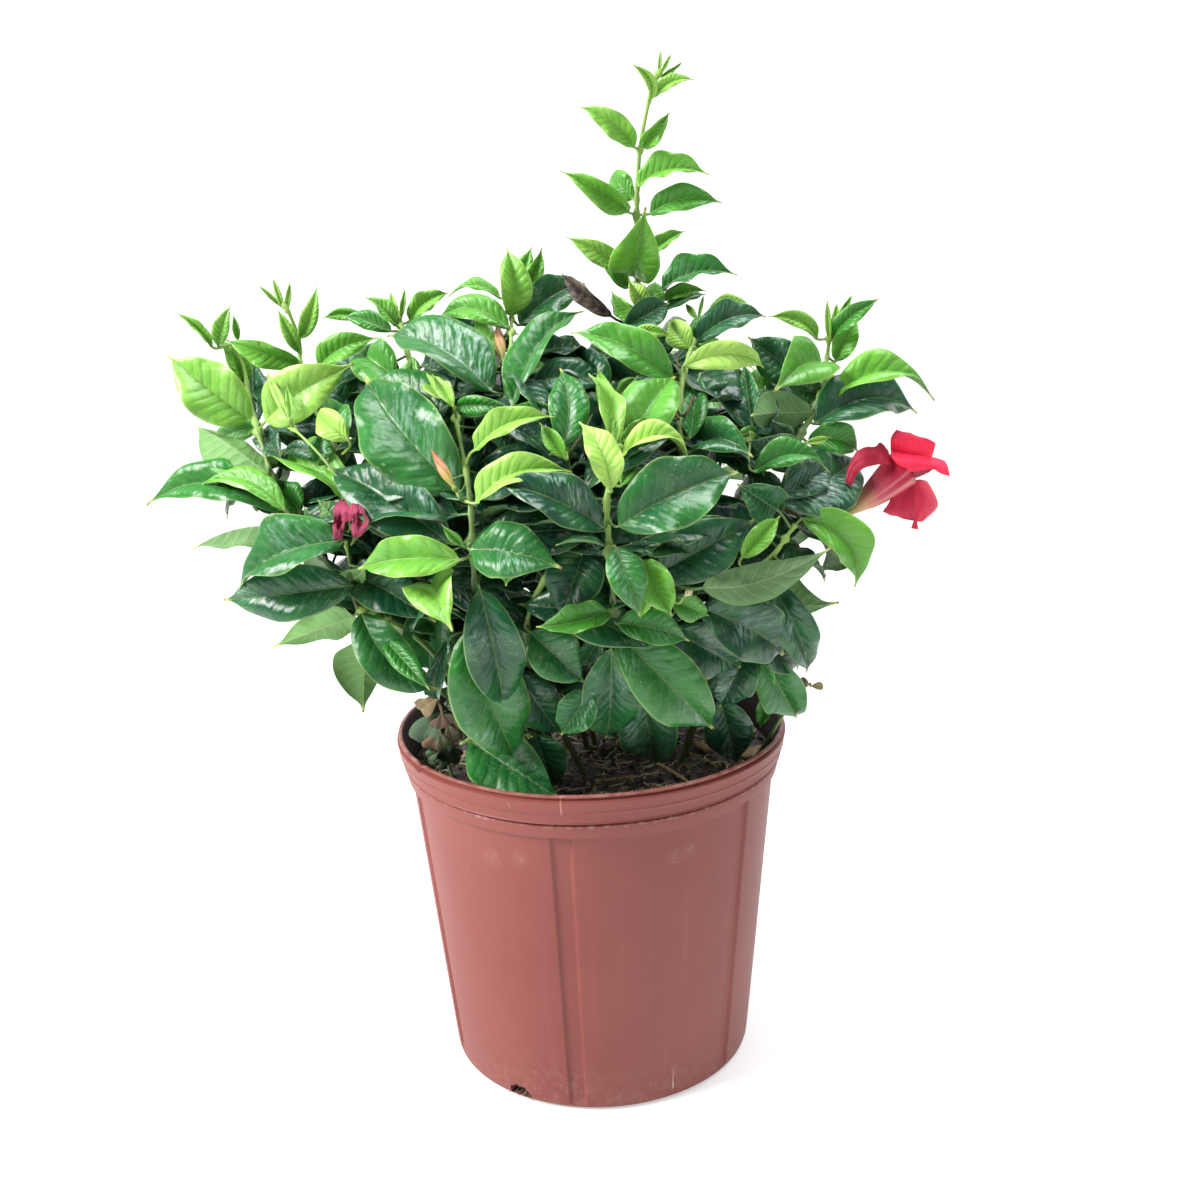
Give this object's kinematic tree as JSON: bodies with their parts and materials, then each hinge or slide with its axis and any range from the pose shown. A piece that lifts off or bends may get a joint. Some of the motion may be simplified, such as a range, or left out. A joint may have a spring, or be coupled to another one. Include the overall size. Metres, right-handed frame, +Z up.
{
  "type": "potted mandevilla",
  "caption": "Bushy young climbing plant with glossy pointed leaves and an open red trumpet flower, standing in a tapered plastic nursery pot filled with potting mix.",
  "frame": {"origin": "middle of the pot's underside, on the surface it stands on", "axes": "+Z up; the plant's front faces -Y; +X is to the right as seen from the front"},
  "size_m": [0.5125, 0.3703, 0.6777],
  "materials": {
    "pot_plastic": "semi-matte moulded plastic, terracotta red-brown",
    "potting_mix": "dark moist peat and bark",
    "foliage": "glossy green leaves and green stems",
    "petals": "satin crimson petals",
    "faded_petals": "dull wilted crimson",
    "buds": "satin pinkish tan",
    "weeds": "matte grey-green and reddish leaflets",
    "straw": "dry tan straw",
    "bark": "dry brown bark"
  },
  "bodies": {
    "root": {"pot": "pot_plastic", "potting_mix": "potting_mix", "tall_stem": "foliage", "upper_centre_stem": "foliage", "upper_left_stem": "foliage", "left_centre_stem": "foliage", "far_left_stem": "foliage", "left_crest_stem": "foliage", "lower_left_stem": "foliage", "centre_stem": "foliage", "middle_stem": "foliage", "upper_right_stem": "foliage", "right_stem": "foliage", "lower_right_stem": "foliage", "low_centre_stem": "foliage", "low_front_stem": "foliage", "back_stem_1": "foliage", "back_stem_2": "foliage", "back_stem_3": "foliage", "back_stem_4": "foliage", "back_stem_5": "foliage", "back_stem_6": "foliage", "back_stem_7": "foliage", "back_stem_8": "foliage", "back_stem_9": "foliage", "corolla": "petals", "faded_corolla": "faded_petals", "bud_upper": "buds", "bud_left": "buds", "bud_cream": "buds", "weed_left": "weeds", "weed_right": "weeds", "straw_1": "straw", "straw_2": "straw", "straw_3": "straw", "bark_chip_1": "bark", "bark_chip_2": "bark", "bark_chip_3": "bark"}
  },
  "joints": []
}
